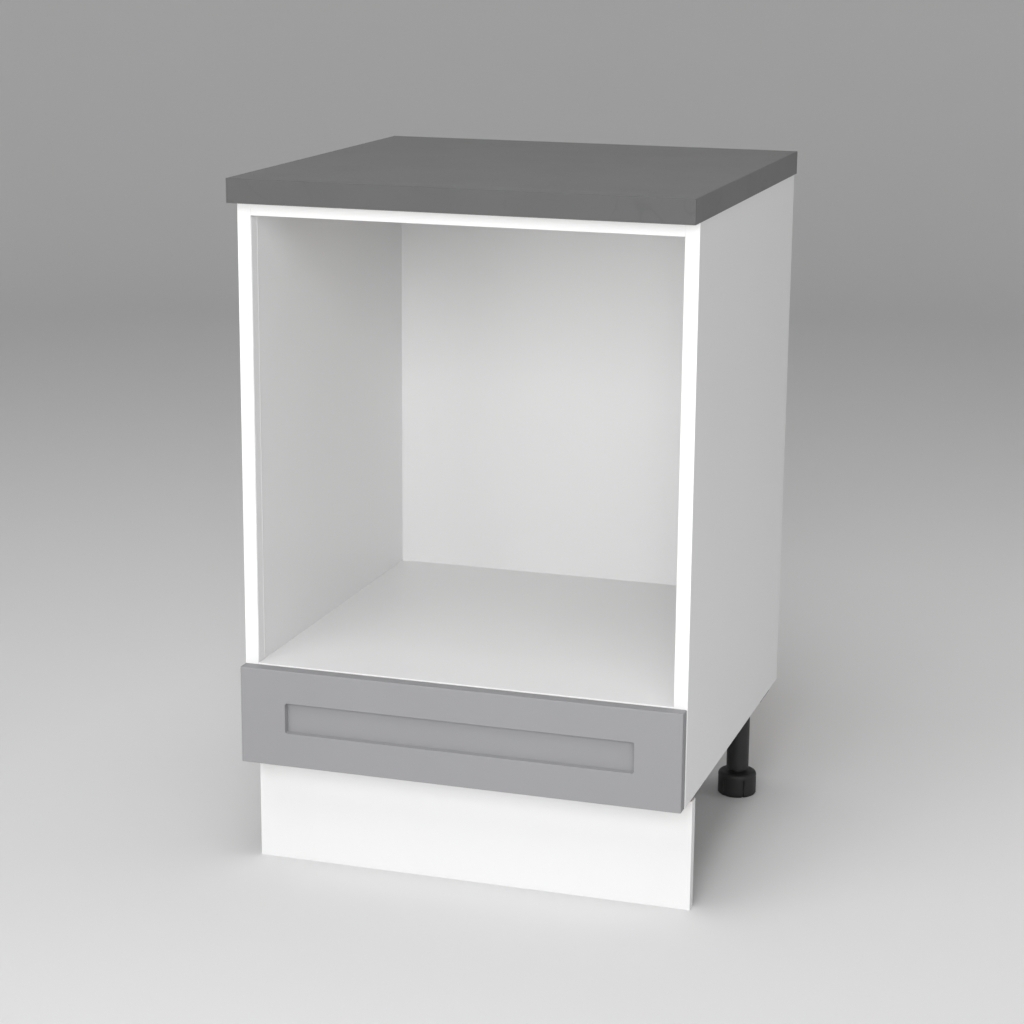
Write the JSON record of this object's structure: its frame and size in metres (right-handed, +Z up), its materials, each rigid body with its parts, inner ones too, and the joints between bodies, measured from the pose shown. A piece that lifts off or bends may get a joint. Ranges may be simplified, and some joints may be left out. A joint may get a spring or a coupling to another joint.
{
  "type": "oven base cabinet",
  "caption": "White base unit with an open oven niche over a grey shaker drawer, dark grey worktop, plinth and adjustable legs.",
  "frame": {"origin": "on the floor under the middle of the worktop", "axes": "+Z up, -Y towards the front where the drawer opens, +X to the right seen from the front"},
  "size_m": [0.6, 0.6, 0.923],
  "materials": {
    "worktop_board": "matt grey laminate on particleboard",
    "worktop_laminate": "matt grey laminate",
    "white_board": "smooth satin white melamine on particleboard",
    "white_hardboard": "white lacquered hardboard",
    "white_edging": "satin white edging",
    "white_guard": "satin white",
    "white_plinth": "satin white melamine on particleboard",
    "grey_front": "matt grey foil on milled fibreboard",
    "white_steel": "white epoxy coating",
    "nylon": "natural nylon",
    "zinc_steel": "bright zinc plating",
    "beech": "fluted beech",
    "black_plastic": "satin black moulded plastic"
  },
  "bodies": {
    "cabinet": {"worktop": "worktop_board", "worktop_edge_strips": "worktop_laminate", "side_panel_left": "white_board", "side_panel_right": "white_board", "bottom_panel": "white_board", "niche_floor": "white_board", "top_rail_front": "white_board", "top_rail_rear": "white_board", "back_panel": "white_hardboard", "edge_bands": "white_edging", "heat_guard_left": "white_guard", "heat_guard_right": "white_guard", "carcass_dowels": "beech", "cabinet_track_left": "white_steel", "cabinet_track_right": "white_steel", "cabinet_roller_pins": "zinc_steel", "leg_plate_front_left": "black_plastic", "leg_tube_front_left": "black_plastic", "leg_plate_front_right": "black_plastic", "leg_tube_front_right": "black_plastic", "leg_plate_rear_left": "black_plastic", "leg_tube_rear_left": "black_plastic", "leg_plate_rear_right": "black_plastic", "leg_tube_rear_right": "black_plastic"},
    "drawer": {"drawer_front": "grey_front", "drawer_side_left": "white_board", "drawer_side_right": "white_board", "drawer_back": "white_board", "drawer_floor": "white_hardboard", "drawer_slide_left": "white_steel", "drawer_slide_right": "white_steel", "drawer_roller_pins": "zinc_steel", "drawer_dowels": "beech"},
    "plinth_board": {"plinth": "white_plinth", "plinth_clips": "black_plastic"},
    "front_roller_left_body": {"front_roller_left": "nylon"},
    "front_roller_right_body": {"front_roller_right": "nylon"},
    "rear_roller_left_body": {"rear_roller_left": "nylon"},
    "rear_roller_right_body": {"rear_roller_right": "nylon"},
    "leg_foot_front_left_body": {"leg_foot_front_left": "black_plastic"},
    "leg_foot_front_right_body": {"leg_foot_front_right": "black_plastic"},
    "leg_foot_rear_left_body": {"leg_foot_rear_left": "black_plastic"},
    "leg_foot_rear_right_body": {"leg_foot_rear_right": "black_plastic"}
  },
  "joints": [
    {"name": "drawer_slide", "type": "slide", "parent": "cabinet", "child": "drawer", "axis": [0, -1, 0], "range_m": [0, 0.375]},
    {"name": "plinth_pull", "type": "slide", "parent": "cabinet", "child": "plinth_board", "axis": [0, -1, 0], "range_m": [0, 0.1]},
    {"name": "front_roller_left_spin", "type": "hinge", "parent": "cabinet", "child": "front_roller_left_body", "pos_m": [-0.27425, -0.256, 0.1915], "axis": [1, 0, 0], "continuous": true},
    {"name": "front_roller_right_spin", "type": "hinge", "parent": "cabinet", "child": "front_roller_right_body", "pos_m": [0.27425, -0.256, 0.1915], "axis": [1, 0, 0], "continuous": true},
    {"name": "rear_roller_left_spin", "type": "hinge", "parent": "drawer", "child": "rear_roller_left_body", "pos_m": [-0.27425, 0.216, 0.1895], "axis": [1, 0, 0], "continuous": true},
    {"name": "rear_roller_right_spin", "type": "hinge", "parent": "drawer", "child": "rear_roller_right_body", "pos_m": [0.27425, 0.216, 0.1895], "axis": [1, 0, 0], "continuous": true},
    {"name": "front_left_foot_height", "type": "slide", "parent": "cabinet", "child": "leg_foot_front_left_body", "axis": [0, 0, -1], "range_m": [-0.0035, 0.025]},
    {"name": "front_right_foot_height", "type": "slide", "parent": "cabinet", "child": "leg_foot_front_right_body", "axis": [0, 0, -1], "range_m": [-0.0035, 0.025]},
    {"name": "rear_left_foot_height", "type": "slide", "parent": "cabinet", "child": "leg_foot_rear_left_body", "axis": [0, 0, -1], "range_m": [-0.0035, 0.025]},
    {"name": "rear_right_foot_height", "type": "slide", "parent": "cabinet", "child": "leg_foot_rear_right_body", "axis": [0, 0, -1], "range_m": [-0.0035, 0.025]}
  ],
  "couplings": [
    {"joint": "front_roller_left_spin", "follows": "drawer_slide", "rad_per_m": 125},
    {"joint": "front_roller_right_spin", "follows": "drawer_slide", "rad_per_m": 125},
    {"joint": "rear_roller_left_spin", "follows": "drawer_slide", "rad_per_m": 125},
    {"joint": "rear_roller_right_spin", "follows": "drawer_slide", "rad_per_m": 125}
  ]
}
